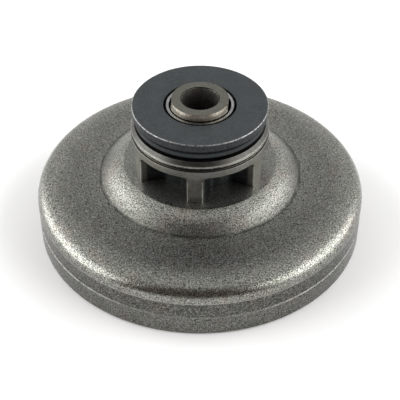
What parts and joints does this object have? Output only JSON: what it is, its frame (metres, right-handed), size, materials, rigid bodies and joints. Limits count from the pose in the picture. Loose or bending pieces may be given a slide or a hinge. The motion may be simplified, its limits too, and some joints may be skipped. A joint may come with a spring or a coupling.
{
  "type": "chainsaw clutch drum",
  "caption": "Chainsaw clutch drum: pressed steel cup with a spur sprocket on its boss, flat washers on top and a caged needle bearing on an inner sleeve with two flats.",
  "frame": {"origin": "centre of the rim's circle, on the plane that the rim stands on", "axes": "+Z along the drum's axis from the open mouth towards the sprocket, one tooth points along -Y"},
  "size_m": [0.078, 0.078, 0.0356],
  "materials": {
    "drum_steel": "tumbled, fine grain",
    "sprocket_steel": "turned, satin",
    "washer_steel": "dark phosphate",
    "sleeve_steel": "hardened, ground",
    "cage_steel": "pressed, bright",
    "roller_steel": "ground, bright"
  },
  "bodies": {
    "drum": {"clutch_drum": "drum_steel", "spur_sprocket": "sprocket_steel", "lower_washer": "washer_steel", "upper_washer": "washer_steel"},
    "sleeve": {"inner_sleeve": "sleeve_steel"},
    "cage": {"bearing_cage": "cage_steel"},
    "roller_01": {"needle_roller_01": "roller_steel"},
    "roller_02": {"needle_roller_02": "roller_steel"},
    "roller_03": {"needle_roller_03": "roller_steel"},
    "roller_04": {"needle_roller_04": "roller_steel"},
    "roller_05": {"needle_roller_05": "roller_steel"},
    "roller_06": {"needle_roller_06": "roller_steel"},
    "roller_07": {"needle_roller_07": "roller_steel"},
    "roller_08": {"needle_roller_08": "roller_steel"},
    "roller_09": {"needle_roller_09": "roller_steel"},
    "roller_10": {"needle_roller_10": "roller_steel"},
    "roller_11": {"needle_roller_11": "roller_steel"},
    "roller_12": {"needle_roller_12": "roller_steel"},
    "roller_13": {"needle_roller_13": "roller_steel"},
    "roller_14": {"needle_roller_14": "roller_steel"}
  },
  "joints": [
    {"name": "sleeve_spin", "type": "hinge", "parent": "drum", "child": "sleeve", "pos_m": [0, 0, 0.02527], "axis": [0, 0, 1], "continuous": true},
    {"name": "cage_spin", "type": "hinge", "parent": "drum", "child": "cage", "pos_m": [0, 0, 0.0231], "axis": [0, 0, 1], "continuous": true},
    {"name": "roller_01_spin", "type": "hinge", "parent": "cage", "child": "roller_01", "pos_m": [0.00777, 0, 0.0231], "axis": [0, 0, 1], "continuous": true},
    {"name": "roller_02_spin", "type": "hinge", "parent": "cage", "child": "roller_02", "pos_m": [0.007, 0.00337, 0.0231], "axis": [0, 0, 1], "continuous": true},
    {"name": "roller_03_spin", "type": "hinge", "parent": "cage", "child": "roller_03", "pos_m": [0.00485, 0.00608, 0.0231], "axis": [0, 0, 1], "continuous": true},
    {"name": "roller_04_spin", "type": "hinge", "parent": "cage", "child": "roller_04", "pos_m": [0.00173, 0.00758, 0.0231], "axis": [0, 0, 1], "continuous": true},
    {"name": "roller_05_spin", "type": "hinge", "parent": "cage", "child": "roller_05", "pos_m": [-0.00173, 0.00758, 0.0231], "axis": [0, 0, 1], "continuous": true},
    {"name": "roller_06_spin", "type": "hinge", "parent": "cage", "child": "roller_06", "pos_m": [-0.00485, 0.00608, 0.0231], "axis": [0, 0, 1], "continuous": true},
    {"name": "roller_07_spin", "type": "hinge", "parent": "cage", "child": "roller_07", "pos_m": [-0.007, 0.00337, 0.0231], "axis": [0, 0, 1], "continuous": true},
    {"name": "roller_08_spin", "type": "hinge", "parent": "cage", "child": "roller_08", "pos_m": [-0.00777, 0, 0.0231], "axis": [0, 0, 1], "continuous": true},
    {"name": "roller_09_spin", "type": "hinge", "parent": "cage", "child": "roller_09", "pos_m": [-0.007, -0.00337, 0.0231], "axis": [0, 0, 1], "continuous": true},
    {"name": "roller_10_spin", "type": "hinge", "parent": "cage", "child": "roller_10", "pos_m": [-0.00485, -0.00608, 0.0231], "axis": [0, 0, 1], "continuous": true},
    {"name": "roller_11_spin", "type": "hinge", "parent": "cage", "child": "roller_11", "pos_m": [-0.00173, -0.00758, 0.0231], "axis": [0, 0, 1], "continuous": true},
    {"name": "roller_12_spin", "type": "hinge", "parent": "cage", "child": "roller_12", "pos_m": [0.00173, -0.00758, 0.0231], "axis": [0, 0, 1], "continuous": true},
    {"name": "roller_13_spin", "type": "hinge", "parent": "cage", "child": "roller_13", "pos_m": [0.00485, -0.00608, 0.0231], "axis": [0, 0, 1], "continuous": true},
    {"name": "roller_14_spin", "type": "hinge", "parent": "cage", "child": "roller_14", "pos_m": [0.007, -0.00337, 0.0231], "axis": [0, 0, 1], "continuous": true}
  ],
  "couplings": [
    {"joint": "cage_spin", "follows": "sleeve_spin", "ratio": 0.44373},
    {"joint": "roller_01_spin", "follows": "sleeve_spin", "ratio": -4.3866},
    {"joint": "roller_02_spin", "follows": "sleeve_spin", "ratio": -4.3866},
    {"joint": "roller_03_spin", "follows": "sleeve_spin", "ratio": -4.3866},
    {"joint": "roller_04_spin", "follows": "sleeve_spin", "ratio": -4.3866},
    {"joint": "roller_05_spin", "follows": "sleeve_spin", "ratio": -4.3866},
    {"joint": "roller_06_spin", "follows": "sleeve_spin", "ratio": -4.3866},
    {"joint": "roller_07_spin", "follows": "sleeve_spin", "ratio": -4.3866},
    {"joint": "roller_08_spin", "follows": "sleeve_spin", "ratio": -4.3866},
    {"joint": "roller_09_spin", "follows": "sleeve_spin", "ratio": -4.3866},
    {"joint": "roller_10_spin", "follows": "sleeve_spin", "ratio": -4.3866},
    {"joint": "roller_11_spin", "follows": "sleeve_spin", "ratio": -4.3866},
    {"joint": "roller_12_spin", "follows": "sleeve_spin", "ratio": -4.3866},
    {"joint": "roller_13_spin", "follows": "sleeve_spin", "ratio": -4.3866},
    {"joint": "roller_14_spin", "follows": "sleeve_spin", "ratio": -4.3866}
  ]
}
